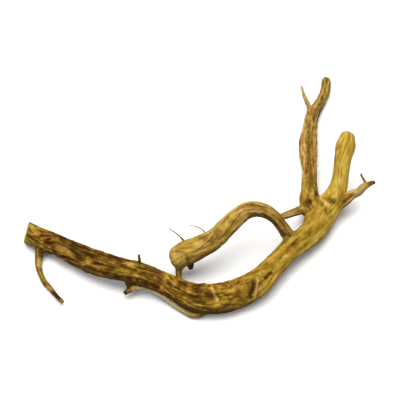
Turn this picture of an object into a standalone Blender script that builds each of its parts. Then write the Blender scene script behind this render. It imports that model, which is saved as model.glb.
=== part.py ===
"""A dried ashwagandha root: one branched woody root that lies on a surface.

+X runs along the root from its cut left end to its crown, +Y runs away from the viewer, and +Z is up.
The root lies on z = 0, with its bounding box centred on the origin.

Sizes are in millimetres, and MM turns them to metres where the points are laid down. The root grows
along routes: each point of a route is a place on a limb's centre line and the limb's radius there,
(x, y, z, radius). A limb is lofted along its route from sections whose ridges follow a formula, so no
two sections are alike. The limbs start well inside what they grow from, and one union makes them one
body.
"""

import math

import bmesh
import bpy
import numpy as np
from mathutils import Vector, noise

MM = 0.001

# The main root: from the cut left end, through the bend, to the stump beyond the fork
MAIN_ROUTE = [
    (-58.1, -18.2, 3.5, 3.4),
    (-50.5, -23.1, 3.9, 3.5),
    (-44.3, -26.7, 4.7, 3.4),
    (-37.2, -31.3, 5.6, 3.7),
    (-30.6, -35.0, 6.4, 3.9),
    (-24.2, -37.2, 6.8, 3.8),
    (-17.5, -39.2, 6.3, 3.6),
    (-11.6, -41.4, 5.7, 3.4),
    (-6.3, -44.2, 5.0, 3.7),
    (-1.1, -46.6, 4.4, 4.65),
    (4.7, -46.9, 4.3, 4.7),
    (10.9, -45.1, 4.4, 4.7),
    (17.7, -41.4, 5.1, 4.3),
    (23.5, -34.8, 5.8, 3.6),
    (29.5, -27.2, 5.6, 3.8),
    (35.6, -20.9, 5.0, 4.0),
    (39.3, -13.8, 4.5, 4.6),
    (42.8, -8.8, 6.0, 3.9),
    (45.1, -4.5, 8.0, 2.95),
    (46.2, 0.0, 10.5, 2.7),
    (46.9, 4.5, 13.0, 3.0),
    (48.0, 8.3, 14.9, 3.25),
    (48.5, 10.5, 16.1, 2.5),
]

# The limb that runs back from the fork and comes down to the surface at its far end
BACK_LIMB_ROUTE = [
    (38.3, -14.6, 5.2, 3.3),
    (35.8, -8.7, 5.6, 3.6),
    (35.8, -3.5, 6.0, 2.8),
    (36.3, 3.5, 6.4, 2.5),
    (36.1, 10.5, 6.2, 2.8),
    (36.4, 18.2, 5.4, 2.9),
    (37.5, 25.5, 4.4, 2.4),
    (38.7, 32.2, 3.2, 2.1),
    (41.2, 38.1, 2.4, 1.8),
    (43.4, 43.9, 1.8, 1.7),
    (44.7, 50.7, 1.6, 1.6),
]

# The thin shoot that leaves the back limb near its far end
FAR_SHOOT_ROUTE = [
    (38.1, 28.8, 3.8, 1.5),
    (37.7, 35.1, 4.4, 0.9),
    (36.3, 39.3, 5.2, 0.7),
    (35.4, 44.1, 5.6, 0.5),
]

# The branch that arches up from the main root, turns back and thickens to a blunt end
HOOK_ROUTE = [
    (30.8, -26.4, 5.6, 2.6),
    (27.9, -24.2, 8.0, 2.1),
    (26.0, -22.4, 10.0, 2.0),
    (23.9, -20.6, 12.0, 2.1),
    (21.4, -19.6, 13.6, 2.2),
    (18.0, -19.2, 14.6, 2.5),
    (14.5, -20.1, 15.0, 2.9),
    (11.3, -22.8, 14.7, 3.1),
    (8.0, -26.1, 13.6, 3.2),
    (4.1, -29.4, 12.0, 3.4),
    (-0.6, -31.3, 10.4, 3.6),
    (-4.5, -32.4, 9.0, 3.9),
    (-7.1, -33.2, 8.0, 3.6),
]

# The spur that hangs below the blunt end of the arched branch, and a broken nub beside it
HOOK_SPUR_ROUTE = [
    (-6.2, -33.6, 6.6, 2.0),
    (-6.7, -35.8, 4.6, 1.15),
    (-6.8, -37.4, 3.0, 1.0),
    (-6.8, -38.6, 1.7, 0.8),
]
HOOK_NUB_ROUTE = [
    (-3.2, -33.0, 7.2, 1.5),
    (-3.1, -34.4, 5.9, 1.2),
    (-3.0, -35.3, 5.2, 0.9),
]

# The broken side root at the foot of the back limb
SIDE_STUB_ROUTE = [
    (36.9, -10.0, 5.4, 2.4),
    (33.9, -11.6, 5.8, 1.7),
    (31.3, -13.3, 6.4, 1.4),
    (28.7, -15.3, 7.4, 1.3),
    (26.6, -17.0, 8.4, 1.2),
]

# The twig on the right of the crown, and the shoot near its tip
TWIG_ROUTE = [
    (43.8, -9.4, 5.6, 3.0),
    (46.9, -8.4, 6.6, 2.2),
    (49.6, -7.3, 7.8, 1.5),
    (51.5, -7.0, 8.6, 1.4),
    (53.6, -5.1, 9.4, 1.2),
    (55.1, -4.5, 9.8, 0.9),
    (56.7, -4.0, 10.2, 0.7),
]
TWIG_SHOOT_ROUTE = [
    (52.9, -5.8, 9.1, 0.7),
    (53.9, -4.3, 10.0, 0.5),
    (53.0, -2.8, 11.0, 0.4),
    (52.5, -2.0, 11.8, 0.4),
]

# The thin rootlet along the near side of the main root, from its free tip to where it grows in, and
# the knob that holds it to the main root near its tip
NEAR_ROOTLET_ROUTE = [
    (-23.8, -43.8, 3.0, 0.7),
    (-22.3, -42.8, 3.4, 0.9),
    (-20.4, -42.1, 3.6, 0.8),
    (-18.0, -41.8, 3.5, 0.7),
    (-15.5, -42.3, 3.1, 0.7),
    (-13.1, -43.6, 2.7, 0.75),
    (-10.6, -45.2, 2.2, 0.8),
    (-8.2, -47.1, 1.8, 0.8),
    (-5.6, -49.0, 1.5, 0.85),
    (-3.8, -50.2, 1.4, 0.9),
    (-2.2, -50.8, 1.3, 0.95),
    (-0.6, -50.9, 1.5, 1.0),
    (0.9, -50.5, 2.1, 1.0),
    (2.9, -49.3, 3.0, 1.1),
]
KNOB_ROUTE = [
    (-22.9, -38.6, 5.8, 1.5),
    (-22.5, -40.8, 4.6, 1.15),
    (-22.0, -42.4, 3.5, 0.8),
]

# The rootlet that grows down and forward from the left end
LEFT_ROOTLET_ROUTE = [
    (-51.3, -23.2, 3.2, 1.8),
    (-51.7, -27.5, 2.0, 1.3),
    (-51.7, -30.6, 1.5, 1.1),
    (-51.0, -34.1, 1.2, 0.9),
    (-49.3, -37.8, 1.1, 0.9),
    (-47.1, -40.9, 1.2, 0.9),
    (-45.0, -43.8, 1.4, 0.8),
    (-43.2, -46.0, 1.7, 0.7),
]

# The short spine on top of the main root
SPINE_ROUTE = [
    (-18.8, -38.0, 8.6, 0.8),
    (-19.0, -36.6, 10.8, 0.5),
    (-19.2, -35.7, 12.2, 0.4),
]

# Sections: distance between them, and the sides of thick, middling and thin limbs
SECTION_STEP = 2.1
THIN_STEP = 1.5
MAIN_SIDES = 32
LIMB_SIDES = 22
ROOTLET_SIDES = 8
SHOOT_SIDES = 6

# Ridges that drying raised along the bark, and the slow swelling of the root beneath them
RIDGE_WIDTH = 1.3
RIDGE_LENGTH = 11.0
MAIN_RIDGE = 1.7
LIMB_RIDGE = 1.1
ROOTLET_RIDGE = 0.15
SWELL_LENGTH = 9.0
SWELL_SHARE = 0.06

# Rounded ends: the share of the radius they stand out, and where their rings lie
DOME_SHARE = 0.75
DOME_ANGLES = (28.0, 52.0, 72.0)

# The slanting cut that ends the main root on the left: a place on it, and the way it faces
LEFT_CUT_PLACE = (-56.2, -19.8, 3.7)
LEFT_CUT_FACING = (-0.95, 0.10, 0.29)

# Joins: creases sharper than this are softened, out to so many edges, so many times
JOIN_CREASE = 30.0
JOIN_SPREAD = 2
JOIN_PASSES = 3

# Bark: straw brown, dull
BARK_COLOUR = (0.30, 0.175, 0.035, 1.0)
BARK_ROUGHNESS = 0.78


def clear_scene():
    for item in list(bpy.data.objects):
        bpy.data.objects.remove(item, do_unlink=True)


def make_collection(name):
    collection = bpy.data.collections.new(name)
    bpy.context.scene.collection.children.link(collection)
    return collection


def make_bark():
    material = bpy.data.materials.new("dried_bark")
    material.use_nodes = True
    shader = material.node_tree.nodes["Principled BSDF"]
    shader.inputs["Base Color"].default_value = BARK_COLOUR
    shader.inputs["Roughness"].default_value = BARK_ROUGHNESS
    shader.inputs["Metallic"].default_value = 0.0
    return material


def smooth_route(route, step):
    """Places and radii every step along a smooth curve through the route's points."""
    points = np.array(route, dtype=float)
    lengths = np.linalg.norm(np.diff(points[:, :3], axis=0), axis=1)
    marks = np.concatenate([[0.0], np.cumsum(lengths)])
    slopes = np.diff(points, axis=0) / lengths[:, None]
    before = lengths[:-1, None]
    after = lengths[1:, None]
    middle = (after * slopes[:-1] + before * slopes[1:]) / (before + after)
    tangents = np.vstack([slopes[:1], middle, slopes[-1:]])
    stations = []
    count = max(3, round(marks[-1] / step))
    for distance in np.linspace(0.0, marks[-1], count + 1):
        i = min(int(np.searchsorted(marks, distance, side="right")) - 1, len(lengths) - 1)
        span = lengths[i]
        t = (distance - marks[i]) / span
        start = (2 * t**3 - 3 * t**2 + 1) * points[i] + (t**3 - 2 * t**2 + t) * span * tangents[i]
        finish = (3 * t**2 - 2 * t**3) * points[i + 1] + (t**3 - t**2) * span * tangents[i + 1]
        x, y, z, radius = start + finish
        stations.append((Vector((x, y, z)), radius, distance))
    return stations


def section_frames(stations):
    """A direction along the limb and two directions across it for each station, with no twist."""
    frames = []
    upward = Vector((0.0, 0.0, 1.0))
    for i in range(len(stations)):
        before = stations[max(i - 1, 0)][0]
        after = stations[min(i + 1, len(stations) - 1)][0]
        along = (after - before).normalized()
        upward = (upward - along * upward.dot(along)).normalized()
        frames.append((along, upward, along.cross(upward)))
    return frames


def bark_radius(radius, distance, angle, ridge, seed):
    """The radius of a section at one angle, with lengthwise ridges and a slow swelling."""
    across = Vector((math.cos(angle), math.sin(angle), 0.0)) * (radius / RIDGE_WIDTH)
    ridge_spot = across + Vector((seed, 0.0, distance / RIDGE_LENGTH))
    swell_spot = Vector((math.cos(angle), math.sin(angle), distance / SWELL_LENGTH + seed))
    swell = radius * SWELL_SHARE * noise.noise(swell_spot)
    return radius + swell + ridge * noise.noise(ridge_spot)


def dome_rings(radius):
    """Rings of a rounded end: how far each stands beyond the last section, and its share of the radius."""
    angles = [math.radians(angle) for angle in DOME_ANGLES]
    return [(DOME_SHARE * radius * math.sin(a), math.cos(a)) for a in angles]


def loft_limb(collection, name, route, sides, ridge, seed, step=SECTION_STEP):
    """One closed limb with a plain start and a rounded end, lofted through unlike sections along its route."""
    stations = smooth_route(route, step)
    frames = section_frames(stations)
    mesh = bmesh.new()

    def add_ring(i, reach, share):
        place, radius, distance = stations[i]
        along, upward, sideways = frames[i]
        ring = []
        for k in range(sides):
            angle = 2 * math.pi * k / sides
            out = bark_radius(radius, distance, angle, ridge, seed) * share
            spot = place + along * reach + (upward * math.cos(angle) + sideways * math.sin(angle)) * out
            ring.append(mesh.verts.new(spot * MM))
        return ring

    last = len(stations) - 1
    last_radius = stations[last][1]
    rings = [add_ring(i, 0.0, 1.0) for i in range(last + 1)]
    rings += [add_ring(last, reach, share) for reach, share in dome_rings(last_radius)]
    for ring, next_ring in zip(rings, rings[1:]):
        for k in range(sides):
            after = (k + 1) % sides
            mesh.faces.new((ring[k], ring[after], next_ring[after], next_ring[k]))
    last_middle = stations[last][0] + frames[last][0] * (DOME_SHARE * last_radius)
    first_vertex = mesh.verts.new(stations[0][0] * MM)
    last_vertex = mesh.verts.new(last_middle * MM)
    for k in range(sides):
        after = (k + 1) % sides
        mesh.faces.new((first_vertex, rings[0][after], rings[0][k]))
        mesh.faces.new((last_vertex, rings[-1][k], rings[-1][after]))
    bmesh.ops.recalc_face_normals(mesh, faces=mesh.faces)
    bmesh.ops.triangulate(mesh, faces=mesh.faces)
    data = bpy.data.meshes.new(name)
    mesh.to_mesh(data)
    mesh.free()
    limb = bpy.data.objects.new(name, data)
    collection.objects.link(limb)
    return limb


def make_limbs(collection):
    """Every limb that grows from the main root, each a closed body of its own for now."""
    loft_limb(collection, "back_limb", BACK_LIMB_ROUTE, LIMB_SIDES, LIMB_RIDGE, 17.0)
    loft_limb(collection, "hook", HOOK_ROUTE, LIMB_SIDES, LIMB_RIDGE, 31.0)
    thin_limbs = [
        ("far_shoot", FAR_SHOOT_ROUTE, SHOOT_SIDES, 43.0),
        ("hook_spur", HOOK_SPUR_ROUTE, ROOTLET_SIDES, 47.0),
        ("hook_nub", HOOK_NUB_ROUTE, ROOTLET_SIDES, 49.0),
        ("side_stub", SIDE_STUB_ROUTE, ROOTLET_SIDES, 53.0),
        ("twig", TWIG_ROUTE, ROOTLET_SIDES, 59.0),
        ("twig_shoot", TWIG_SHOOT_ROUTE, SHOOT_SIDES, 61.0),
        ("near_rootlet", NEAR_ROOTLET_ROUTE, ROOTLET_SIDES, 67.0),
        ("knob", KNOB_ROUTE, ROOTLET_SIDES, 69.0),
        ("left_rootlet", LEFT_ROOTLET_ROUTE, ROOTLET_SIDES, 71.0),
        ("spine", SPINE_ROUTE, SHOOT_SIDES, 73.0),
    ]
    for name, route, sides, seed in thin_limbs:
        loft_limb(collection, name, route, sides, ROOTLET_RIDGE, seed, step=THIN_STEP)


def apply_modifiers(item):
    """Gives an object the mesh that its modifiers make, and removes them."""
    evaluated = item.evaluated_get(bpy.context.evaluated_depsgraph_get())
    data = bpy.data.meshes.new_from_object(evaluated)
    item.modifiers.clear()
    item.data = data


def join_limbs(root, limbs):
    """One union of the main root with every limb, after which the limbs are removed."""
    union = root.modifiers.new("join", "BOOLEAN")
    union.operation = "UNION"
    union.operand_type = "COLLECTION"
    union.collection = limbs
    union.solver = "EXACT"
    apply_modifiers(root)
    for limb in list(limbs.objects):
        bpy.data.objects.remove(limb, do_unlink=True)
    bpy.data.collections.remove(limbs)


def soften_joins(root):
    """Rounds the creases where the limbs leave what they grow from."""
    mesh = bmesh.new()
    mesh.from_mesh(root.data)
    sharpest = -math.radians(JOIN_CREASE)
    creases = [edge for edge in mesh.edges if edge.calc_face_angle_signed(0.0) < sharpest]
    near = {vertex for edge in creases for vertex in edge.verts}
    for _ in range(JOIN_SPREAD):
        near |= {edge.other_vert(vertex) for vertex in near for edge in vertex.link_edges}
    soft = [vertex for vertex in mesh.verts if vertex in near]
    for _ in range(JOIN_PASSES):
        bmesh.ops.smooth_vert(mesh, verts=soft, factor=0.5, use_axis_x=True, use_axis_y=True, use_axis_z=True)
    mesh.to_mesh(root.data)
    mesh.free()


def slice_off(root, place, facing):
    """Cuts off what lies beyond a plane through the place, on the side it faces, and leaves a flat face."""
    mesh = bmesh.new()
    mesh.from_mesh(root.data)
    whole = list(mesh.verts) + list(mesh.edges) + list(mesh.faces)
    cut = bmesh.ops.bisect_plane(mesh, geom=whole, plane_co=place, plane_no=facing, clear_outer=True)
    rims = [item for item in cut["geom_cut"] if isinstance(item, bmesh.types.BMEdge)]
    bmesh.ops.holes_fill(mesh, edges=rims, sides=0)
    bmesh.ops.triangulate(mesh, faces=mesh.faces)
    mesh.to_mesh(root.data)
    mesh.free()


def centre_on_origin(root):
    """Moves the mesh so that its bounding box is centred on the origin, seen from above."""
    places = np.array([vertex.co for vertex in root.data.vertices])
    middle = (places.min(axis=0) + places.max(axis=0)) / 2
    for vertex in root.data.vertices:
        vertex.co.x -= middle[0]
        vertex.co.y -= middle[1]


def build_root():
    clear_scene()
    parts = make_collection("dried_ashwagandha_root")
    limbs = make_collection("limbs")
    root = loft_limb(parts, "root", MAIN_ROUTE, MAIN_SIDES, MAIN_RIDGE, 5.0)
    make_limbs(limbs)
    join_limbs(root, limbs)
    soften_joins(root)
    slice_off(root, Vector(LEFT_CUT_PLACE) * MM, LEFT_CUT_FACING)
    slice_off(root, (0.0, 0.0, 0.0), (0.0, 0.0, -1.0))
    centre_on_origin(root)
    root.data.materials.clear()
    root.data.materials.append(make_bark())
    root.data.shade_smooth()
    root.data.set_sharp_from_angle(angle=math.radians(50))


build_root()
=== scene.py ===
import math
from types import SimpleNamespace

import bmesh
import bpy
import numpy as np
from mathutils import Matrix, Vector, noise


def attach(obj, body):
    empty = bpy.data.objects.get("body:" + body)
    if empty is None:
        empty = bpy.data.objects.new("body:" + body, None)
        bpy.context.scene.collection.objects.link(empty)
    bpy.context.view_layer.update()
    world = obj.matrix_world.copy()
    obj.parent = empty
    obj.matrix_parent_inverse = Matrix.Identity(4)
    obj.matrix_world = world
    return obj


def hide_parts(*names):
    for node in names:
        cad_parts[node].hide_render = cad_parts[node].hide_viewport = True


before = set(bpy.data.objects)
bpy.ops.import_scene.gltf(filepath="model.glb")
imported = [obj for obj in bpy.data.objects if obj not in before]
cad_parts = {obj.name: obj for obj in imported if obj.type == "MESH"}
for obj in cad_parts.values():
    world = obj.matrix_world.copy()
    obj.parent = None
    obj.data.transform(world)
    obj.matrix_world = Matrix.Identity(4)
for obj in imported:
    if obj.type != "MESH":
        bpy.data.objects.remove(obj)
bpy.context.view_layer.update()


# The root lies on a plain white table, under one broad soft lamp overhead and a weaker
# one on the left, in an evenly lit white room. A camera looks down on it at 50 degrees.

MM = 0.001
TABLE_WHITE = (0.93, 0.93, 0.925, 1.0)
TABLE_ROUGHNESS = 0.9
TABLE_SHEEN = 0.1
TABLE_REACH = 3.0
ROOM_WHITE = (0.97, 0.985, 1.0, 1.0)
ROOM_STRENGTH = 0.50
CAMERA_AIM = Vector((-0.1, -9.8, 8.0)) * MM
CAMERA_AWAY = 0.4875
CAMERA_HEIGHT_ANGLE = math.radians(50)
CAMERA_LENS = 135.0
CAMERA_SENSOR = 36.0
CAMERA_NEAREST = 0.01

bpy.ops.mesh.primitive_plane_add(size=2 * TABLE_REACH)
table = bpy.context.object
table.name = "table"
table_white = bpy.data.materials.new("table_white")
table_white.use_nodes = True
table_paint = table_white.node_tree.nodes["Principled BSDF"]
table_paint.inputs["Base Color"].default_value = TABLE_WHITE
table_paint.inputs["Roughness"].default_value = TABLE_ROUGHNESS
table_paint.inputs["Specular IOR Level"].default_value = TABLE_SHEEN
table.data.materials.append(table_white)


def hang_lamp(name, place, size, power, colour):
    lamp = bpy.data.lights.new(name, "AREA")
    lamp.shape = "DISK"
    lamp.size = size
    lamp.energy = power
    lamp.color = colour
    holder = bpy.data.objects.new(name, lamp)
    holder.location = place
    holder.rotation_euler = (CAMERA_AIM - Vector(place)).to_track_quat("-Z", "Y").to_euler()
    bpy.context.scene.collection.objects.link(holder)


hang_lamp("lamp_overhead", (-0.08, 0.08, 0.85), 0.9, 11.0, (1.0, 0.985, 0.96))
hang_lamp("lamp_front_left", (-0.65, -0.75, 0.55), 0.5, 2.5, (1.0, 0.99, 0.98))

world = bpy.data.worlds.new("studio")
world.use_nodes = True
world.node_tree.nodes["Background"].inputs["Color"].default_value = ROOM_WHITE
world.node_tree.nodes["Background"].inputs["Strength"].default_value = ROOM_STRENGTH
bpy.context.scene.world = world
bpy.context.scene.view_settings.view_transform = "Standard"

camera = bpy.data.cameras.new("camera")
camera.lens = CAMERA_LENS
camera.sensor_width = CAMERA_SENSOR
camera.clip_start = CAMERA_NEAREST
tripod = bpy.data.objects.new("camera", camera)
toward = Vector((0.0, -math.cos(CAMERA_HEIGHT_ANGLE), math.sin(CAMERA_HEIGHT_ANGLE)))
tripod.location = CAMERA_AIM + toward * CAMERA_AWAY
tripod.rotation_euler = (-toward).to_track_quat("-Z", "Y").to_euler()
bpy.context.scene.collection.objects.link(tripod)
bpy.context.scene.camera = tripod


# The root is one dried, woody piece: a bent main root, its limbs and its rootlets, with
# the hook as the branch that arches back over it. Each grows along a route, whose points
# hold a place and the radius there, in millimetres.

MAIN_ROUTE = [
    (-58.1, -18.2, 3.5, 3.4),
    (-50.5, -23.1, 3.9, 3.5),
    (-44.3, -26.7, 4.7, 3.4),
    (-37.2, -31.3, 5.6, 3.7),
    (-30.6, -35.0, 6.4, 3.9),
    (-24.2, -37.2, 6.8, 3.8),
    (-17.5, -39.2, 6.3, 3.6),
    (-11.6, -41.4, 5.7, 3.4),
    (-6.3, -44.2, 5.0, 3.7),
    (-1.1, -46.6, 4.4, 4.65),
    (4.7, -46.9, 4.3, 4.7),
    (10.9, -45.1, 4.4, 4.7),
    (17.7, -41.4, 5.1, 4.3),
    (23.5, -34.8, 5.8, 3.6),
    (29.5, -27.2, 5.6, 3.8),
    (35.6, -20.9, 5.0, 4.0),
    (39.3, -13.8, 4.5, 4.6),
    (42.8, -8.8, 6.0, 3.9),
    (45.1, -4.5, 8.0, 2.95),
    (46.2, 0.0, 10.5, 2.7),
    (46.9, 4.5, 13.0, 3.0),
    (48.0, 8.3, 14.9, 3.25),
    (48.5, 10.5, 16.1, 2.5),
]
BACK_LIMB_ROUTE = [
    (38.3, -14.6, 5.2, 3.3),
    (35.8, -8.7, 5.6, 3.6),
    (35.8, -3.5, 6.0, 2.8),
    (36.3, 3.5, 6.4, 2.5),
    (36.1, 10.5, 6.2, 2.8),
    (36.4, 18.2, 5.4, 2.9),
    (37.5, 25.5, 4.4, 2.4),
    (38.7, 32.2, 3.2, 2.1),
    (41.2, 38.1, 2.4, 1.8),
    (43.4, 43.9, 1.8, 1.7),
    (44.7, 50.7, 1.6, 1.6),
]
HOOK_ROUTE = [
    (30.8, -26.4, 5.6, 2.6),
    (27.9, -24.2, 8.0, 2.1),
    (26.0, -22.4, 10.0, 2.0),
    (23.9, -20.6, 12.0, 2.1),
    (21.4, -19.6, 13.6, 2.2),
    (18.0, -19.2, 14.6, 2.5),
    (14.5, -20.1, 15.0, 2.9),
    (11.3, -22.8, 14.7, 3.1),
    (8.0, -26.1, 13.6, 3.2),
    (4.1, -29.4, 12.0, 3.4),
    (-0.6, -31.3, 10.4, 3.6),
    (-4.5, -32.4, 9.0, 3.9),
    (-7.1, -33.2, 8.0, 3.6),
]
FAR_SHOOT_ROUTE = [
    (38.1, 28.8, 3.8, 1.5),
    (37.7, 35.1, 4.4, 0.9),
    (36.3, 39.3, 5.2, 0.7),
    (35.4, 44.1, 5.6, 0.5),
]
HOOK_SPUR_ROUTE = [
    (-6.2, -33.6, 6.6, 2.0),
    (-6.7, -35.8, 4.6, 1.15),
    (-6.8, -37.4, 3.0, 1.0),
    (-6.8, -38.6, 1.7, 0.8),
]
HOOK_NUB_ROUTE = [
    (-3.2, -33.0, 7.2, 1.5),
    (-3.1, -34.4, 5.9, 1.2),
    (-3.0, -35.3, 5.2, 0.9),
]
SIDE_STUB_ROUTE = [
    (36.9, -10.0, 5.4, 2.4),
    (33.9, -11.6, 5.8, 1.7),
    (31.3, -13.3, 6.4, 1.4),
    (28.7, -15.3, 7.4, 1.3),
    (26.6, -17.0, 8.4, 1.2),
]
TWIG_ROUTE = [
    (43.8, -9.4, 5.6, 3.0),
    (46.9, -8.4, 6.6, 2.2),
    (49.6, -7.3, 7.8, 1.5),
    (51.5, -7.0, 8.6, 1.4),
    (53.6, -5.1, 9.4, 1.2),
    (55.1, -4.5, 9.8, 0.9),
    (56.7, -4.0, 10.2, 0.7),
]
TWIG_SHOOT_ROUTE = [
    (52.9, -5.8, 9.1, 0.7),
    (53.9, -4.3, 10.0, 0.5),
    (53.0, -2.8, 11.0, 0.4),
    (52.5, -2.0, 11.8, 0.4),
]
NEAR_ROOTLET_ROUTE = [
    (-23.8, -43.8, 3.0, 0.7),
    (-22.3, -42.8, 3.4, 0.9),
    (-20.4, -42.1, 3.6, 0.8),
    (-18.0, -41.8, 3.5, 0.7),
    (-15.5, -42.3, 3.1, 0.7),
    (-13.1, -43.6, 2.7, 0.75),
    (-10.6, -45.2, 2.2, 0.8),
    (-8.2, -47.1, 1.8, 0.8),
    (-5.6, -49.0, 1.5, 0.85),
    (-3.8, -50.2, 1.4, 0.9),
    (-2.2, -50.8, 1.3, 0.95),
    (-0.6, -50.9, 1.5, 1.0),
    (0.9, -50.5, 2.1, 1.0),
    (2.9, -49.3, 3.0, 1.1),
]
KNOB_ROUTE = [
    (-22.9, -38.6, 5.8, 1.5),
    (-22.5, -40.8, 4.6, 1.15),
    (-22.0, -42.4, 3.5, 0.8),
]
LEFT_ROOTLET_ROUTE = [
    (-51.3, -23.2, 3.2, 1.8),
    (-51.7, -27.5, 2.0, 1.3),
    (-51.7, -30.6, 1.5, 1.1),
    (-51.0, -34.1, 1.2, 0.9),
    (-49.3, -37.8, 1.1, 0.9),
    (-47.1, -40.9, 1.2, 0.9),
    (-45.0, -43.8, 1.4, 0.8),
    (-43.2, -46.0, 1.7, 0.7),
]
SPINE_ROUTE = [
    (-18.8, -38.0, 8.6, 0.8),
    (-19.0, -36.6, 10.8, 0.5),
    (-19.2, -35.7, 12.2, 0.4),
]
ROUTE_STEP = 0.3
FEWEST_STATIONS = 4


def follow(route, fillet, rough, gold, pale):
    """A limb: stations along a smooth curve through its route, and how its bark changes on the way.

    fillet is how far in mm the limb flows into what it grows from. rough, gold and pale say how
    wrinkled, how golden and how light its bark is, at even steps from the limb's foot to its end.
    """
    points = np.array(route, dtype=float)
    lengths = np.linalg.norm(np.diff(points[:, :3], axis=0), axis=1)
    marks = np.concatenate([[0.0], np.cumsum(lengths)])
    slopes = np.diff(points, axis=0) / lengths[:, None]
    before = lengths[:-1, None]
    after = lengths[1:, None]
    middle = (after * slopes[:-1] + before * slopes[1:]) / (before + after)
    tangents = np.vstack([slopes[:1], middle, slopes[-1:]])
    distance = np.linspace(0.0, marks[-1], max(FEWEST_STATIONS, round(marks[-1] / ROUTE_STEP)))
    i = np.clip(np.searchsorted(marks, distance, side="right") - 1, 0, len(lengths) - 1)
    span = lengths[i][:, None]
    t = (distance - marks[i])[:, None] / span
    start = (2 * t**3 - 3 * t**2 + 1) * points[i] + (t**3 - 2 * t**2 + t) * span * tangents[i]
    finish = (3 * t**2 - 2 * t**3) * points[i + 1] + (t**3 - t**2) * span * tangents[i + 1]
    stations = start + finish
    limb = SimpleNamespace(places=stations[:, :3], radius=stations[:, 3], distance=distance)
    limb.fillet = fillet
    limb.rough = rough
    limb.gold = gold
    limb.pale = pale
    limb.girth = float(limb.radius.mean())
    limb.ahead = np.gradient(limb.places, axis=0)
    limb.ahead /= np.linalg.norm(limb.ahead, axis=1)[:, None]
    limb.up = np.zeros_like(limb.ahead)
    upward = np.array([0.0, 0.0, 1.0])
    for k, way in enumerate(limb.ahead):
        upward = upward - way * upward.dot(way)
        upward /= np.linalg.norm(upward)
        limb.up[k] = upward
    limb.side = np.cross(limb.ahead, limb.up)
    return limb


MAIN_ROUGH = (0.55, 0.95, 1.05, 1.1, 1.1, 0.9, 0.75, 0.35, 0.2)
MAIN_GOLD = (0.55, 0.10, 0.22, 0.25, 0.52, 0.74, 0.76, 0.97, 1.0)
MAIN_PALE = (0.15, 0.0, 0.0, 0.05, 0.1, 0.1, 0.1, 0.0, 0.0)
HOOK_GOLD = (0.4, 0.3, 0.35, 0.4, 0.9)
HOOK_PALE = (0.5, 0.55, 0.6, 0.6, 0.35)
NEAR_ROOTLET_PALE = (1.0, 1.0, 1.0, 1.0, 0.95, 0.6, 0.2)
limbs = {
    "main": follow(MAIN_ROUTE, 0.0, MAIN_ROUGH, MAIN_GOLD, MAIN_PALE),
    "back_limb": follow(BACK_LIMB_ROUTE, 1.2, (0.7, 1.0, 1.0), (0.55, 0.35, 0.3, 0.3), (0.3, 0.6, 0.55)),
    "hook": follow(HOOK_ROUTE, 0.9, (0.5, 0.6, 0.7), HOOK_GOLD, HOOK_PALE),
    "far_shoot": follow(FAR_SHOOT_ROUTE, 0.8, (0.3,), (0.3,), (0.5, 0.9)),
    "hook_spur": follow(HOOK_SPUR_ROUTE, 1.2, (0.3,), (0.5,), (0.5, 0.3, 0.1)),
    "hook_nub": follow(HOOK_NUB_ROUTE, 0.5, (0.3,), (0.0,), (0.0,)),
    "side_stub": follow(SIDE_STUB_ROUTE, 1.2, (0.4,), (0.4,), (0.5, 0.75)),
    "twig": follow(TWIG_ROUTE, 1.1, (0.6, 0.4), (0.6, 0.1, 0.0), (0.1, 0.8, 0.75)),
    "twig_shoot": follow(TWIG_SHOOT_ROUTE, 0.5, (0.2,), (0.1,), (0.4, 0.2)),
    "near_rootlet": follow(NEAR_ROOTLET_ROUTE, 0.35, (0.25,), (0.2,), NEAR_ROOTLET_PALE),
    "knob": follow(KNOB_ROUTE, 0.5, (0.4,), (0.1,), (0.0,)),
    "left_rootlet": follow(LEFT_ROOTLET_ROUTE, 0.9, (0.3,), (0.3, 0.3), (0.1, 0.5, 0.5, 0.2, 0.5)),
    "spine": follow(SPINE_ROUTE, 0.4, (0.1,), (0.0,), (0.0,)),
}


# The body of the root: its limbs as smooth tubes, melted into one skin, which is then
# drawn onto the limbs with a soft fillet wherever one grows out of another. Its sizes
# are in millimetres too, and so are those of the bark.

SKIN_GRAIN = 0.305
TUBE_SIDES = 24
DOME_SHARE = 0.75
DOME_TURNS = (0.4, 0.8, 1.15, 1.4)
LEFT_CUT_PLACE = np.array([-56.2, -19.8, 3.7])
LEFT_CUT_FACING = np.array([-0.95, 0.10, 0.29]) / np.linalg.norm([-0.95, 0.10, 0.29])
NEAREST_AT_ONCE = 3000
OUT_OF_REACH = 9.0
REACH_ROUND = 3.0
REACH_PAST_END = 4.0
DRAW_ROUNDS = 3
DRAW_LIMIT = 1.0


def add_ring(mesh, limb, k, sides, beyond=0.0, share=1.0):
    """Corners in a ring round station k of a limb, or beyond it and smaller for a rounded end."""
    middle = limb.places[k] + limb.ahead[k] * beyond * limb.radius[k]
    ring = []
    for n in range(sides):
        turn = 2 * math.pi * n / sides
        out = limb.up[k] * math.cos(turn) + limb.side[k] * math.sin(turn)
        ring.append(mesh.verts.new((middle + out * limb.radius[k] * share) * MM))
    return ring


def skin_over(mesh, rings):
    """Faces from each ring to the next, and one over each end."""
    for ring, next_ring in zip(rings, rings[1:]):
        for n in range(len(ring)):
            after = (n + 1) % len(ring)
            mesh.faces.new((ring[n], ring[after], next_ring[after], next_ring[n]))
    mesh.faces.new(rings[0])
    mesh.faces.new(rings[-1])


def add_tube(mesh, limb):
    """One closed round tube along a limb, with a rounded end."""
    last = len(limb.radius) - 1
    rings = [add_ring(mesh, limb, k, TUBE_SIDES) for k in range(0, last + 1, 2)]
    for a in DOME_TURNS:
        rings.append(add_ring(mesh, limb, last, TUBE_SIDES, DOME_SHARE * math.sin(a), math.cos(a)))
    skin_over(mesh, rings)


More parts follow.
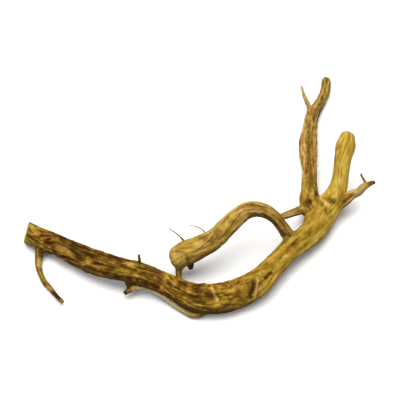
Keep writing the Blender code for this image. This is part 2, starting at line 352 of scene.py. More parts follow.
def melt_limbs(grain):
    """The limbs as one closed skin of even small faces, cut off slantwise at the left end."""
    mesh = bmesh.new()
    add_tube(mesh, limbs["main"])
    whole = mesh.verts[:] + mesh.edges[:] + mesh.faces[:]
    sawn = bmesh.ops.bisect_plane(
        mesh,
        geom=whole,
        plane_co=Vector(LEFT_CUT_PLACE) * MM,
        plane_no=LEFT_CUT_FACING,
        clear_outer=True,
    )
    rims = [item for item in sawn["geom_cut"] if isinstance(item, bmesh.types.BMEdge)]
    bmesh.ops.holes_fill(mesh, edges=rims, sides=0)
    for name, limb in limbs.items():
        if name != "main":
            add_tube(mesh, limb)
    bmesh.ops.recalc_face_normals(mesh, faces=mesh.faces)
    data = bpy.data.meshes.new("root_body")
    mesh.to_mesh(data)
    mesh.free()
    body = bpy.data.objects.new("root_body", data)
    bpy.context.scene.collection.objects.link(body)
    melt = body.modifiers.new("melt", "REMESH")
    melt.mode = "VOXEL"
    melt.voxel_size = grain * MM
    evaluated = body.evaluated_get(bpy.context.evaluated_depsgraph_get())
    melted = bpy.data.meshes.new_from_object(evaluated)
    body.modifiers.clear()
    body.data = melted
    return body


def measure(limb, places):
    """How far places lie outside a limb, the way out of it, and where they are along and round it."""
    outside = np.full(len(places), OUT_OF_REACH)
    outward = np.zeros((len(places), 3))
    along = np.zeros(len(places))
    turn = np.zeros(len(places))
    margin = limb.radius.max() + REACH_ROUND
    low = limb.places.min(axis=0) - margin
    high = limb.places.max(axis=0) + margin
    near = np.flatnonzero(((places > low) & (places < high)).all(axis=1))
    last = len(limb.radius) - 1
    for start in range(0, len(near), NEAREST_AT_ONCE):
        rows = near[start : start + NEAREST_AT_ONCE]
        gaps = places[rows][:, None, :] - limb.places[None, :, :]
        k = (gaps**2).sum(axis=2).argmin(axis=1)
        gap = gaps[np.arange(len(rows)), k]
        ahead = (gap * limb.ahead[k]).sum(axis=1)
        across = gap - ahead[:, None] * limb.ahead[k]
        past = np.where(k == last, np.maximum(ahead, 0.0) / DOME_SHARE, 0.0)
        short = np.where(k == 0, np.minimum(ahead, 0.0), 0.0)
        width = np.linalg.norm(across, axis=1)
        away = np.sqrt(width**2 + past**2 + short**2)
        way = across + (past / DOME_SHARE + short)[:, None] * limb.ahead[k]
        outward[rows] = way / np.maximum(np.linalg.norm(way, axis=1), 1e-6)[:, None]
        along[rows] = np.clip(limb.distance[k] + ahead, 0.0, limb.distance[-1] + REACH_PAST_END)
        outside[rows] = away - np.interp(along[rows], limb.distance, limb.radius)
        turn[rows] = np.arctan2((across * limb.side[k]).sum(axis=1), (across * limb.up[k]).sum(axis=1))
    return outside, outward, along, turn


def blend_limbs(places):
    """How far places lie outside the limbs melted together, the way out of them, what measure
    finds for each limb, and each limb's share in every place.
    """
    found = {name: measure(limb, places) for name, limb in limbs.items()}
    outside, outward = found["main"][:2]
    shares = {"main": np.ones(len(places))}
    for name, limb in limbs.items():
        if name == "main":
            continue
        limb_outside, limb_outward = found[name][:2]
        t = np.clip(0.5 + 0.5 * (outside - limb_outside) / limb.fillet, 0.0, 1.0)
        outside = outside * (1.0 - t) + limb_outside * t - limb.fillet * (t * (1.0 - t))
        outward = outward * (1.0 - t)[:, None] + limb_outward * t[:, None]
        shares = {key: share * (1.0 - t) for key, share in shares.items()}
        shares[name] = t
    outward /= np.maximum(np.linalg.norm(outward, axis=1), 1e-6)[:, None]
    return outside, outward, found, shares


body = melt_limbs(SKIN_GRAIN)
spots = np.zeros(len(body.data.vertices) * 3)
body.data.vertices.foreach_get("co", spots)
spots = spots.reshape(-1, 3) / MM
for _ in range(DRAW_ROUNDS):
    outside, outward, found, shares = blend_limbs(spots)
    past_cut = (spots - LEFT_CUT_PLACE) @ LEFT_CUT_FACING
    on_bark = outside > past_cut
    spots = np.where(
        on_bark[:, None],
        spots - np.clip(outside, -DRAW_LIMIT, DRAW_LIMIT)[:, None] * outward,
        spots - past_cut[:, None] * LEFT_CUT_FACING,
    )
outside, outward, found, shares = blend_limbs(spots)
past_cut = (spots - LEFT_CUT_PLACE) @ LEFT_CUT_FACING


# Bark that shrank as it dried: long rounded ridges with narrow furrows between them and
# finer wrinkles on those, lumpy in the dull left half and nearly smooth on the stump.

RIDGE_WIDTH, RIDGE_LENGTH, RIDGE_HEIGHT = 1.5, 18.0, 0.42
FURROW_WIDTH, FURROW_LENGTH, FURROW_DEPTH = 0.95, 11.0, 0.26
WRINKLE_WIDTH, WRINKLE_LENGTH, WRINKLE_DEPTH = 0.6, 4.0, 0.11
LUMP_WIDTH, LUMP_HEIGHT = 2.4, 0.24
SWELL_WIDTH, SWELL_HEIGHT = 6.0, 0.18
SWELL_FULL_GIRTH = 3.0
RIDGE_WANDER, RIDGE_TWIST = 11.0, 0.5
FURROW_OPEN, WRINKLE_OPEN = 0.20, 0.24
FURROW_SHIFT, WRINKLE_SHIFT, LUMP_SHIFT, SWELL_SHIFT = 7.0, 3.0, 11.0, 23.0
FURROW_DARK, WRINKLE_DARK, RIDGE_LIGHT = 0.65, 0.35, 0.5
SMOOTH_BARK_DARK = 0.3
LIMB_SHIFT = 17.0
LIMB_GRAIN_SHIFT = 37.0
LEAST_SHARE = 0.01


def noise_at(x, y, z):
    spots_there = zip(x.tolist(), y.tolist(), z.tolist())
    return np.fromiter((noise.noise(spot) for spot in spots_there), float, len(x))


def smooth_step(value, low, high):
    t = np.clip((value - low) / (high - low), 0.0, 1.0)
    return t * t * (3.0 - 2.0 * t)


def along_limb(limb, values, along):
    """A value that changes from a limb's foot to its end, given at even steps."""
    return np.interp(along / limb.distance[-1], np.linspace(0.0, 1.0, len(values)), values)


def bark_relief(limb, along, turn, shift):
    """How far the bark stands over the round limb in mm, how deep each place is in a furrow, and
    where it is across the limb. Each limb shifts along the noise, so that no two look alike.
    """
    wander = noise_at(np.cos(turn), np.sin(turn), along / RIDGE_WANDER + shift) * RIDGE_TWIST
    x = np.cos(turn + wander) * limb.girth
    y = np.sin(turn + wander) * limb.girth
    ridge = noise_at(x / RIDGE_WIDTH, y / RIDGE_WIDTH, along / RIDGE_LENGTH + shift)
    furrow = noise_at(x / FURROW_WIDTH + FURROW_SHIFT, y / FURROW_WIDTH, along / FURROW_LENGTH + shift)
    wrinkle_x = x / WRINKLE_WIDTH + WRINKLE_SHIFT
    wrinkle = noise_at(wrinkle_x, y / WRINKLE_WIDTH, along / WRINKLE_LENGTH + shift)
    lump = noise_at(x / LUMP_WIDTH, y / LUMP_WIDTH + LUMP_SHIFT, along / LUMP_WIDTH + shift)
    swell = noise_at(x / SWELL_WIDTH, y / SWELL_WIDTH + SWELL_SHIFT, along / SWELL_WIDTH + shift)
    in_furrow = 1.0 - smooth_step(np.abs(furrow), 0.0, FURROW_OPEN)
    in_wrinkle = 1.0 - smooth_step(np.abs(wrinkle), 0.0, WRINKLE_OPEN)
    rough = along_limb(limb, limb.rough, along)
    dull = 1.0 - along_limb(limb, limb.gold, along)
    height = RIDGE_HEIGHT * ridge - FURROW_DEPTH * in_furrow - WRINKLE_DEPTH * in_wrinkle
    height = rough * (height + LUMP_HEIGHT * dull * lump)
    height += SWELL_HEIGHT * min(1.0, limb.girth / SWELL_FULL_GIRTH) * swell
    depth = np.clip(FURROW_DARK * in_furrow + WRINKLE_DARK * in_wrinkle - RIDGE_LIGHT * ridge, 0.0, 1.0)
    depth *= SMOOTH_BARK_DARK + (1.0 - SMOOTH_BARK_DARK) * rough
    return height, depth, x, y


height = np.zeros(len(spots))
looks = {name: np.zeros(len(spots)) for name in ("furrow", "gold", "pale")}
bark_place = np.zeros((len(spots), 3))
largest = np.zeros(len(spots))
for number, (name, limb) in enumerate(limbs.items()):
    rows = np.flatnonzero(shares[name] > LEAST_SHARE)
    share = shares[name][rows]
    along = found[name][2][rows]
    turn = found[name][3][rows]
    relief, depth, x, y = bark_relief(limb, along, turn, LIMB_SHIFT * number)
    height[rows] += share * relief
    looks["furrow"][rows] += share * depth
    for trait in ("gold", "pale"):
        looks[trait][rows] += share * along_limb(limb, getattr(limb, trait), along)
    own = share > largest[rows]
    mine = rows[own]
    largest[mine] = share[own]
    bark_place[mine] = np.stack([x[own], y[own], along[own] + LIMB_GRAIN_SHIFT * number], axis=1)


# What the root's life left on its bark: cracks, slits, scars of lost rootlets, a lifted
# flake, light strands and dark stained patches, with painted shade and painted shadow among the dark
# marks, each along a short line on the surface.

# Each mark: the limb that it is on, or any, its colour and how strong that is, how far it reaches
# and how deep it lies in mm, or how high where negative, and the places that its line runs through
MARKS = [
    # Blunt end of the hook: its rim, its light face, the scar beside it and the nub under it
    ("hook", "dark", 0.45, 0.6, 0.25, [(-9.1, -33.6, 10.7), (-7.8, -33.5, 11.4), (-6.2, -34.2, 12.1)]),
    ("hook", "dark", 0.30, 0.6, 0.15, [(-6.2, -34.2, 12.1), (-4.8, -35.0, 11.9), (-3.8, -35.9, 10.6)]),
    ("hook", "red", 0.80, 0.9, 0.30, [(-3.8, -35.9, 10.6), (-3.6, -35.8, 7.8)]),
    ("hook", "pale", 0.60, 4.4, 0.10, [(-7.6, -35.9, 9.8)]),
    ("hook", "pale", 0.45, 3.4, 0.00, [(-3.9, -35.4, 10.8), (0.4, -33.5, 13.1)]),
    ("hook_nub", "dark", 0.85, 2.2, 0.00, [(-3.1, -34.0, 6.4), (-3.0, -35.8, 5.0)]),
    ("hook", "dark", 0.80, 1.3, 0.10, [(-3.3, -35.4, 7.2), (-2.6, -34.6, 6.4)]),
    # Fork: a light ridge with a crack beside it, two knots, and the broken side root
    ("main", "pale", 0.70, 0.85, -0.35, [
        (38.9, -8.8, 8.0), (39.6, -11.0, 9.2), (40.7, -12.5, 9.6), (41.9, -14.0, 9.4),
    ]),
    ("main", "dark", 0.80, 0.8, 0.30, [
        (38.3, -9.8, 8.4), (39.0, -12.2, 9.3), (40.2, -14.2, 9.5), (41.0, -15.4, 9.1),
    ]),
    ("main", "dark", 0.85, 1.9, 0.40, [(42.3, -11.2, 9.5), (43.2, -11.4, 9.2)]),
    ("back_limb", "dark", 0.95, 1.1, 0.45, [(34.9, -11.3, 8.4), (35.6, -11.0, 8.6)]),
    ("back_limb", "red", 0.85, 1.5, 0.10, [(33.0, -12.0, 7.4), (35.2, -11.8, 8.4)]),
    ("main", "red", 0.60, 1.3, 0.10, [(34.6, -12.4, 8.0)]),
    ("side_stub", "dark", 0.85, 1.2, 0.00, [
        (33.9, -13.4, 4.9), (30.8, -14.6, 5.4), (27.6, -16.8, 6.6),
    ]),
    # Bend and right of it: the lifted flake, slits and light strands
    ("main", "pale", 1.00, 0.95, -0.40, [(17.7, -42.6, 9.1), (17.3, -45.2, 8.0), (16.7, -47.3, 5.9)]),
    ("main", "dark", 1.0, 0.9, 0.45, [(16.3, -44.3, 8.6), (16.1, -45.9, 7.6), (15.5, -47.5, 6.2)]),
    ("main", "dark", 0.95, 0.9, 0.40, [(20.0, -41.9, 8.6), (21.2, -40.7, 8.6), (22.1, -40.0, 8.3)]),
    ("main", "pale", 0.70, 0.8, -0.10, [(18.6, -40.9, 9.3)]),
    ("main", "pale", 0.80, 0.75, -0.20, [(3.5, -45.2, 8.7), (4.4, -48.0, 8.8), (5.3, -50.0, 7.9)]),
    ("main", "dark", 0.55, 0.7, 0.15, [(4.6, -45.6, 8.7), (5.4, -48.0, 8.8), (6.2, -50.0, 7.9)]),
    ("main", "pale", 0.55, 0.7, -0.15, [(6.3, -48.6, 8.3), (8.9, -48.8, 7.8), (11.8, -48.6, 7.1)]),
    ("main", "dark", 0.60, 0.6, 0.25, [(6.5, -50.3, 6.8), (10.8, -50.2, 5.3), (14.7, -48.6, 5.0)]),
    # Streaks from the bend to the fork, and the light lower edge there
    ("main", "dark", 0.42, 1.0, 0.15, [(21.6, -33.2, 8.3), (27.4, -26.8, 9.1), (32.6, -19.6, 8.2)]),
    ("main", "dark", 0.32, 1.0, 0.12, [
        (21.0, -38.7, 9.6), (25.0, -34.6, 9.8), (28.8, -30.1, 9.6), (31.6, -27.0, 9.6),
    ]),
    ("main", "pale", 0.45, 1.1, -0.05, [(25.5, -35.4, 9.1), (30.5, -30.3, 8.6), (35.7, -24.7, 8.0)]),
    ("main", "pale", 0.40, 1.9, 0.00, [
        (31.9, -30.2, 6.1), (35.2, -26.8, 6.5), (38.3, -23.4, 6.8), (41.5, -18.6, 6.4),
        (44.0, -14.2, 6.7),
    ]),
    ("main", "red", 0.45, 0.9, 0.00, [(23.5, -38.7, 8.8)]),
    # Back limb: a long brown crease and a light flank
    ("back_limb", "red", 0.65, 0.9, 0.22, [
        (37.0, 25.3, 7.0), (36.8, 18.4, 8.2), (36.0, 12.3, 8.9), (35.9, 6.8, 8.9),
    ]),
    ("back_limb", "red", 0.60, 0.9, 0.22, [(35.9, 6.8, 8.9), (36.2, 0.8, 8.8), (35.5, -7.0, 8.6)]),
    ("back_limb", "red", 0.55, 1.1, 0.00, [(35.5, 9.5, 8.9), (35.7, 5.5, 8.8)]),
    ("back_limb", "pale", 0.60, 1.3, -0.10, [(33.8, -0.6, 7.3), (34.5, 7.2, 8.5), (34.5, 15.6, 8.2)]),
    # Along the hook: fine creases, flecks, knots, and painted shade on its underside under the arch
    ("hook", "dark", 0.40, 0.4, 0.10, [(-2.0, -34.7, 11.9), (0.9, -33.1, 13.3), (4.2, -30.3, 15.2)]),
    ("hook", "red", 0.40, 1.1, 0.00, [(-7.3, -33.6, 11.6), (-6.3, -33.0, 12.4)]),
    ("hook", "red", 0.45, 1.0, 0.00, [(-3.9, -35.8, 9.3), (-2.6, -34.9, 11.0)]),
    ("hook", "red", 0.40, 1.1, 0.00, [(0.0, -30.7, 14.1), (1.6, -30.6, 14.4)]),
    ("hook", "dark", 0.85, 0.7, 0.30, [(6.8, -31.4, 13.1)]),
    ("hook", "dark", 0.60, 0.6, 0.20, [(9.8, -27.4, 15.9)]),
    # Painted shade under the hook's arch
    ("hook", "dark", 0.85, 1.5, 0.10, [
        (14.6, -24.6, 14.6), (16.8, -22.7, 15.6), (20.2, -22.2, 14.8), (23.0, -23.0, 12.6),
        (26.6, -25.6, 9.4),
    ]),
    # Left half: painted shadow of other roots that lay across it, and dark, light and reddish patches
    # Painted shadow: these two dark lines stand for the shadow of roots that lay across the left half
    ("main", "dark", 0.65, 2.4, 0.00, [(-44.0, -28.8, 7.9), (-38.4, -30.9, 9.0), (-33.4, -33.9, 9.6)]),
    ("main", "dark", 0.42, 2.2, 0.00, [(-44.5, -28.2, 8.0), (-41.9, -30.7, 8.4), (-39.4, -32.8, 8.2)]),
    ("main", "dark", 0.35, 1.6, 0.00, [(-32.9, -36.0, 9.2), (-28.9, -38.1, 9.6)]),
    ("main", "pale", 0.30, 2.4, 0.00, [(-37.0, -34.0, 8.6), (-33.6, -37.6, 8.0)]),
    ("main", "pale", 0.45, 2.2, 0.00, [(-11.0, -42.8, 8.6), (-8.0, -43.4, 8.6)]),
    ("main", "pale", 0.30, 2.2, 0.00, [(-24.5, -36.4, 10.4), (-20.0, -38.0, 9.9)]),
    ("main", "red", 0.65, 1.1, 0.10, [(-31.5, -34.1, 9.9)]),
    ("main", "red", 0.50, 1.0, 0.10, [(-31.2, -38.6, 7.5)]),
    ("main", "red", 0.85, 1.5, 0.20, [(-15.6, -38.6, 9.4), (-13.0, -40.5, 9.2), (-11.8, -41.6, 8.8)]),
    ("main", "dark", 0.60, 1.3, 0.10, [(-17.5, -37.8, 9.0), (-13.5, -38.8, 8.6)]),
    # Painted shade along the lower edge of the left half and under the bend
    ("main", "dark", 0.95, 1.8, 0.00, [
        (-20.3, -42.6, 4.4), (-15.5, -43.3, 4.0), (-11.6, -45.1, 3.1), (-7.8, -47.9, 2.5),
    ]),
    ("main", "dark", 1.0, 2.8, 0.00, [
        (-3.4, -50.1, 3.2), (-0.1, -51.0, 3.4), (4.7, -51.4, 3.2), (9.4, -50.3, 2.8),
    ]),
    ("main", "dark", 1.0, 2.0, 0.00, [
        (-9.7, -46.2, 4.6), (-7.6, -47.2, 3.6), (-5.4, -49.0, 3.2), (-2.8, -50.8, 3.8),
        (2.4, -51.6, 3.8),
    ]),
    # Dark feet, tips and stains on the rootlets, the stump and the twig; painted shade above the near
    # rootlet and on its far end; and a dark patch low on the main
    ("left_rootlet", "dark", 1.0, 2.2, 0.05, [(-45.6, -43.0, 1.8), (-44.5, -44.3, 1.8)]),
    ("left_rootlet", "pale", 0.90, 1.3, 0.00, [(-43.0, -46.4, 2.0)]),
    ("left_rootlet", "dark", 0.60, 1.8, 0.00, [(-51.5, -26.0, 3.4)]),
    ("main", "dark", 0.45, 0.9, 0.05, [(45.3, 6.6, 16.6), (44.8, 5.4, 15.3)]),
    ("main", "dark", 0.40, 0.8, 0.05, [(44.1, 4.3, 13.8), (43.9, 3.3, 12.9)]),
    ("twig", "dark", 0.85, 1.3, 0.05, [(55.0, -4.6, 10.4), (56.8, -4.0, 10.6)]),
    ("twig", "dark", 0.45, 0.6, 0.05, [(51.4, -7.4, 9.9)]),
    ("any", "dark", 1.0, 3.1, 0.00, [(-24.2, -44.2, 3.0), (-23.4, -43.0, 4.0), (-23.0, -42.0, 4.8)]),
    ("knob", "dark", 1.0, 4.5, 0.00, [(-22.9, -42.2, 4.4)]),
    # Painted shade in the crease between the main root and the near rootlet lying against it
    ("main", "dark", 1.0, 0.9, 0.25, [
        (-21.8, -41.6, 5.4), (-19.7, -42.3, 6.9), (-18.1, -42.8, 7.1), (-15.6, -43.2, 7.2),
        (-13.1, -44.1, 6.9),
    ]),
    # Painted shade on the near rootlet's far end, where it runs under the main root
    ("near_rootlet", "dark", 0.70, 2.0, 0.00, [(0.5, -50.8, 2.4), (3.0, -49.5, 3.4)]),
    ("main", "dark", 0.70, 1.6, 0.00, [(-28.0, -40.6, 6.0), (-24.1, -41.6, 6.0)]),
]
MARK_CORE = 0.15
MARK_MARGIN = 1.5
MARK_RAG_WIDTH, MARK_RAG = 0.8, 0.4
MARK_WAVE, MARK_BEND = 1.6, 0.5
MARK_WAVE_SHIFTS = (0.0, 50.0, 90.0)
MARK_FLATTEN = 0.7
# Painted shade on the underside: the bark darkens the further down its face points
UNDERSIDE_SHADE_FROM, UNDERSIDE_SHADE_FULL = -0.25, 0.45
CUT_EDGE_FROM, CUT_EDGE_FULL = -0.30, -0.05


def distance_to_line(places, facing, line):
    """How far places are from a line through some points, with little weight on depth below the skin."""
    points = np.array(line, dtype=float)
    nearest = np.full(len(places), np.inf)
    for a, b in zip(points, points[1:] if len(points) > 1 else points):
        stretch = max((b - a) @ (b - a), 1e-9)
        t = np.clip((places - a) @ (b - a) / stretch, 0.0, 1.0)
        gap = places - a - t[:, None] * (b - a)
        gap -= MARK_FLATTEN * (gap * facing).sum(axis=1)[:, None] * facing
        nearest = np.minimum(nearest, np.linalg.norm(gap, axis=1))
    return nearest


for kind in ("dark", "red", "light"):
    looks[kind] = np.zeros(len(spots))
shares["any"] = np.ones(len(spots))
wavy = [noise_at(*(spots / MARK_WAVE + shift).T) for shift in MARK_WAVE_SHIFTS]
bent_spots = spots + MARK_BEND * np.stack(wavy, axis=1)
for limb_name, kind, strength, reach, sink, line in MARKS:
    away = distance_to_line(bent_spots, outward, line)
    rows = np.flatnonzero(away < MARK_MARGIN * reach)
    ragged = noise_at(*(spots[rows] / MARK_RAG_WIDTH).T) * MARK_RAG
    share = 1.0 - smooth_step(away[rows] / reach + ragged, MARK_CORE, 1.0)
    share *= shares[limb_name][rows]
    height[rows] -= share * sink
    trait = "light" if kind == "pale" else kind
    looks[trait][rows] = np.maximum(looks[trait][rows], strength * share)
# Painted shade: darker the further down the bark's face points
looks["painted_underside_shade"] = smooth_step(-outward[:, 2], UNDERSIDE_SHADE_FROM, UNDERSIDE_SHADE_FULL)
looks["cut"] = smooth_step(past_cut, CUT_EDGE_FROM, CUT_EDGE_FULL)
looks["inside"] = -outside / limbs["main"].radius[0]
spots = spots + outward * (height * (1.0 - looks["cut"]))[:, None]
spots[:, 2] = np.maximum(spots[:, 2], 0.0)
body.data.vertices.foreach_set("co", (spots * MM).ravel())
body.data.shade_smooth()


def keep_on_mesh(mesh, name, values):
    """Stores a value for each point of the mesh, for the bark's material."""
    kind = "FLOAT_VECTOR" if values.ndim == 2 else "FLOAT"
    stored = mesh.attributes.new(name, kind, "POINT")
    stored.data.foreach_set("vector" if values.ndim == 2 else "value", values.astype(np.float32).ravel())


keep_on_mesh(body.data, "bark_place", bark_place)
for name, values in looks.items():
    keep_on_mesh(body.data, name, np.clip(values, 0.0, 1.0))


# Dried bark: fine lengthwise fibres, dull umber and straw in the left half and golden
# towards the crown, tan on the side branches, darker in furrows, and with painted shade on the
# underside.

bark = bpy.data.materials.new("dried_bark")
bark.use_nodes = True
bark_nodes = bark.node_tree.nodes
bark_links = bark.node_tree.links
bark_shader = bark_nodes["Principled BSDF"]
MIX_UNDER, MIX_OVER, MIX_RESULT = 6, 7, 2


def into(socket, value):
    """Feeds a socket from another node's output, or sets it to a plain value."""
    if isinstance(value, bpy.types.NodeSocket):
        bark_links.new(value, socket)
    else:
        socket.default_value = value


def kept(name, output="Fac"):
    node = bark_nodes.new("ShaderNodeAttribute")
    node.attribute_name = name
    return node.outputs[output]


def fibre(across, lengthwise, detail, roughness=0.55):
    """Noise drawn out along the limb, with so many features to a millimetre across and along."""
    stretch = bark_nodes.new("ShaderNodeMapping")
    stretch.inputs["Scale"].default_value = (across, across, lengthwise)
    into(stretch.inputs["Vector"], kept("bark_place", "Vector"))
    grain = bark_nodes.new("ShaderNodeTexNoise")
    grain.inputs["Scale"].default_value = 1.0
    grain.inputs["Detail"].default_value = detail
    grain.inputs["Roughness"].default_value = roughness
    into(grain.inputs["Vector"], stretch.outputs["Vector"])
    return grain.outputs["Fac"]


def ease(value, low, high, first=0.0, last=1.0):
    """Goes smoothly from first to last as value goes from low to high."""
    node = bark_nodes.new("ShaderNodeMapRange")
    node.interpolation_type = "SMOOTHSTEP"
    into(node.inputs["Value"], value)
    node.inputs["From Min"].default_value = low
    node.inputs["From Max"].default_value = high
    node.inputs["To Min"].default_value = first
    node.inputs["To Max"].default_value = last
    return node.outputs["Result"]


def reckon(kind, first, second, third=0.0):
    node = bark_nodes.new("ShaderNodeMath")
    node.operation = kind
    for socket, value in zip(node.inputs, (first, second, third)):
        into(socket, value)
    return node.outputs["Value"]


def swing(grain, weight):
    """A noise as a swing to both sides of nought."""
    return reckon("MULTIPLY_ADD", grain, weight, -0.5 * weight)


def tint(share, under, over):
    """One colour laid over another by a share from 0 to 1."""
    node = bark_nodes.new("ShaderNodeMix")
    node.data_type = "RGBA"
    into(node.inputs["Factor"], share)
    into(node.inputs[MIX_UNDER], under)
    into(node.inputs[MIX_OVER], over)
    return node.outputs[MIX_RESULT]


def shades(tone, stops):
    """A run of colours from dark to light, picked by a tone from 0 to 1."""
    node = bark_nodes.new("ShaderNodeValToRGB")
    ramp = node.color_ramp
    while len(ramp.elements) < len(stops):
        ramp.elements.new(0.5)
    for element, (place, colour) in zip(ramp.elements, stops):
        element.position = place
        element.color = (*colour, 1.0)
    into(node.inputs["Fac"], tone)
    return node.outputs["Color"]


DULL_SHADES = [
    (0.00, (0.016, 0.006, 0.0006)),
    (0.28, (0.060, 0.025, 0.0018)),
    (0.50, (0.138, 0.067, 0.0045)),
    (0.72, (0.258, 0.142, 0.0130)),
    (1.00, (0.430, 0.285, 0.0650)),
]
GOLD_SHADES = [
    (0.00, (0.080, 0.038, 0.0020)),
    (0.28, (0.182, 0.103, 0.0080)),
    (0.50, (0.320, 0.196, 0.0165)),
    (0.72, (0.420, 0.274, 0.0460)),
    (1.00, (0.560, 0.410, 0.1100)),
]
TAN_SHADES = [
    (0.00, (0.060, 0.028, 0.0030)),
    (0.28, (0.150, 0.082, 0.0100)),
    (0.50, (0.265, 0.160, 0.0290)),
    (0.72, (0.380, 0.250, 0.0580)),
    (1.00, (0.520, 0.375, 0.1250)),
]
CREAM_BARK = (0.430, 0.345, 0.170, 1.0)
TAN_STREAK = (0.300, 0.195, 0.050, 1.0)
FLAKE_TAN = (0.400, 0.290, 0.120, 1.0)
RED_STAIN = (0.095, 0.030, 0.006, 1.0)
DARK_BROWN = (0.040, 0.018, 0.002, 1.0)
# The colour of the painted shade on the underside
UNDERSIDE_SHADE_BROWN = (0.045, 0.024, 0.004, 1.0)
CUT_WOOD = (0.450, 0.335, 0.135, 1.0)
CUT_RAY = (0.300, 0.200, 0.065, 1.0)
CUT_RIM = (0.150, 0.085, 0.020, 1.0)

DULL, GOLDEN = 0.1, 0.8
BAND_SWING, STREAK_SWING, STRAND_SWING, MOTTLE_SWING = 1.2, 1.3, 0.8, 1.2
BARK_TONE, STUMP_TONE = 0.44, 0.61
PALE_LIFT, LIGHT_LIFT = 0.11, 0.40
RING_FROM, RING_MIDDLE, RING_TO = 0.16, 0.24, 0.34
CUT_RIM_WIDTH = 0.10
HUE_LOW, HUE_HIGH = 0.489, 0.508
DULL_ROUGHNESS, GOLD_ROUGHNESS = 0.80, 0.58
BARK_SHEEN = 0.05
GRAIN_STRENGTH, GRAIN_HEIGHT = 0.8, 0.22 * MM

band = fibre(0.75, 0.07, 3.0)
streak = fibre(1.6, 0.12, 4.0)
strand = fibre(4.0, 0.35, 3.0)
mottle = fibre(0.55, 0.35, 4.0)
speck = fibre(1.5, 1.1, 2.0)

# The tone swings most on dull bark and less on golden or pale bark, and is highest on the stump
tone = reckon("ADD", swing(band, BAND_SWING), swing(streak, STREAK_SWING))
tone = reckon("ADD", tone, swing(strand, STRAND_SWING))
tone = reckon("ADD", tone, swing(mottle, MOTTLE_SWING))
tone = reckon("MULTIPLY", tone, ease(kept("gold"), DULL, GOLDEN, 1.35, 0.75))
tone = reckon("MULTIPLY", tone, ease(kept("pale"), 0.1, 0.6, 1.0, 0.75))
tone = reckon("ADD", tone, ease(kept("gold"), 0.80, 1.0, BARK_TONE, STUMP_TONE))
tone = reckon("ADD", tone, ease(kept("pale"), 0.2, 0.6, 0.0, PALE_LIFT))
tone = reckon("MULTIPLY_ADD", kept("light"), LIGHT_LIFT, tone)

# The bark's own colour: dull, golden or tan by place, and cream on the palest rootlet
gold_share = ease(reckon("ADD", kept("gold"), swing(mottle, 0.9)), 0.15, 0.75)
pale_share = ease(reckon("ADD", kept("pale"), swing(band, 0.6)), 0.05, 0.75)
colour = tint(gold_share, shades(tone, DULL_SHADES), shades(tone, GOLD_SHADES))
colour = tint(pale_share, colour, shades(tone, TAN_SHADES))
colour = tint(ease(kept("pale"), 0.65, 1.0, 0.0, 0.8), colour, CREAM_BARK)

# Over it lie reddish specks, dark furrows and painted shade on the underside, all fainter on golden bark
speck_share = reckon("MULTIPLY", ease(speck, 0.58, 0.70), ease(kept("gold"), DULL, GOLDEN, 0.70, 0.25))
colour = tint(speck_share, colour, RED_STAIN)
furrow_strength = ease(kept("gold"), DULL, GOLDEN, 0.60, 0.30)
furrow_share = reckon("MULTIPLY", ease(kept("furrow"), 0.40, 1.0), furrow_strength)
colour = tint(furrow_share, colour, DARK_BROWN)
# Painted shade on the underside, weaker on golden bark
underside_shade_share = reckon("MULTIPLY", kept("painted_underside_shade"), ease(kept("gold"), 0.5, 0.85, 0.95, 0.4))
colour = tint(underside_shade_share, colour, UNDERSIDE_SHADE_BROWN)

# The marks, with fine strands in the lightest
flake = tint(ease(strand, 0.35, 0.65), TAN_STREAK, FLAKE_TAN)
colour = tint(ease(kept("light"), 0.60, 1.0, 0.0, 0.8), colour, flake)
colour = tint(kept("red"), colour, RED_STAIN)
# Dark marks: stains, cracks and knots, and also the painted shade and painted shadow listed above
colour = tint(kept("dark"), colour, DARK_BROWN)

# The cut face: pale wood with rays, one dark ring in it and a dark rim of bark
cut_face = tint(ease(streak, 0.40, 0.65, 0.0, 0.7), CUT_WOOD, CUT_RAY)
ring_start = ease(kept("inside"), RING_FROM, RING_MIDDLE)
ring_end = ease(kept("inside"), RING_MIDDLE, RING_TO, 1.0, 0.0)
cut_ring = reckon("MULTIPLY", ring_start, ring_end)
cut_face = tint(reckon("MULTIPLY", cut_ring, 0.75), cut_face, CUT_RIM)
cut_face = tint(ease(kept("inside"), 0.0, CUT_RIM_WIDTH, 0.8, 0.0), cut_face, CUT_RIM)
colour = tint(kept("cut"), colour, cut_face)

hue_drift = bark_nodes.new("ShaderNodeHueSaturation")
into(hue_drift.inputs["Hue"], ease(fibre(0.35, 0.12, 2.0), 0.35, 0.65, HUE_LOW, HUE_HIGH))
into(hue_drift.inputs["Color"], colour)
into(bark_shader.inputs["Base Color"], hue_drift.outputs["Color"])

bark_shader.inputs["Specular IOR Level"].default_value = BARK_SHEEN
into(bark_shader.inputs["Roughness"], ease(kept("gold"), 0.0, 1.0, DULL_ROUGHNESS, GOLD_ROUGHNESS))

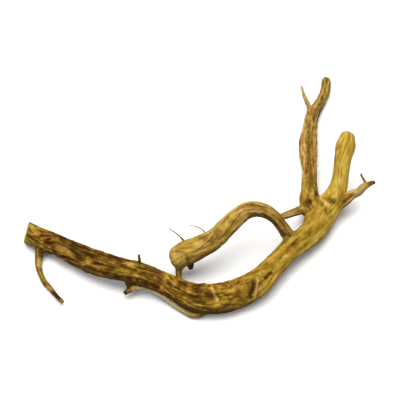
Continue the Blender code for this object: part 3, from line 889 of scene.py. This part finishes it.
grain_height = reckon("ADD", swing(strand, 0.8), swing(streak, 1.0))
grain_height = reckon("ADD", grain_height, swing(speck, 0.4))
bump = bark_nodes.new("ShaderNodeBump")
bump.inputs["Strength"].default_value = GRAIN_STRENGTH
bump.inputs["Distance"].default_value = GRAIN_HEIGHT
into(bump.inputs["Height"], grain_height)
into(bark_shader.inputs["Normal"], bump.outputs["Normal"])

body.data.materials.append(bark)
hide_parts("root")
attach(body, "root")


# Two hair-fine rootlets that still cling to the hook. They share its bark and grow out
# of it near its blunt end.

HAIR_ROUTES = [
    [
        (-4.9, -29.8, 11.2, 0.45),
        (-6.4, -28.2, 12.0, 0.25),
        (-8.3, -26.5, 12.3, 0.20),
        (-9.9, -25.0, 12.2, 0.14),
    ],
    [
        (1.9, -28.1, 13.0, 0.35),
        (0.5, -26.7, 13.8, 0.20),
        (-1.5, -25.9, 14.2, 0.17),
        (-3.6, -25.3, 14.0, 0.12),
    ],
]
HAIR_SIDES = 8
HAIR_GRAIN_SHIFT = 700.0
HAIR_LOOKS = {"pale": 0.35, "dark": 0.35}

hair_mesh = bmesh.new()
hair_places = []
for hair_route in HAIR_ROUTES:
    hair = follow(hair_route, 0.0, (0.2,), (0.0,), (0.3,))
    rings = []
    for k, radius in enumerate(hair.radius):
        rings.append(add_ring(hair_mesh, hair, k, HAIR_SIDES))
        grain = hair.distance[k] + HAIR_GRAIN_SHIFT
        for n in range(HAIR_SIDES):
            turn = 2 * math.pi * n / HAIR_SIDES
            hair_places.append((math.cos(turn) * radius, math.sin(turn) * radius, grain))
    skin_over(hair_mesh, rings)
bmesh.ops.recalc_face_normals(hair_mesh, faces=hair_mesh.faces)
hair_data = bpy.data.meshes.new("hair_rootlets")
hair_mesh.to_mesh(hair_data)
hair_mesh.free()
hairs = bpy.data.objects.new("hair_rootlets", hair_data)
bpy.context.scene.collection.objects.link(hairs)
keep_on_mesh(hair_data, "bark_place", np.array(hair_places))
for name, value in HAIR_LOOKS.items():
    keep_on_mesh(hair_data, name, np.full(len(hair_places), value))
hair_data.shade_smooth()
hair_data.materials.append(bark)
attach(hairs, "root")
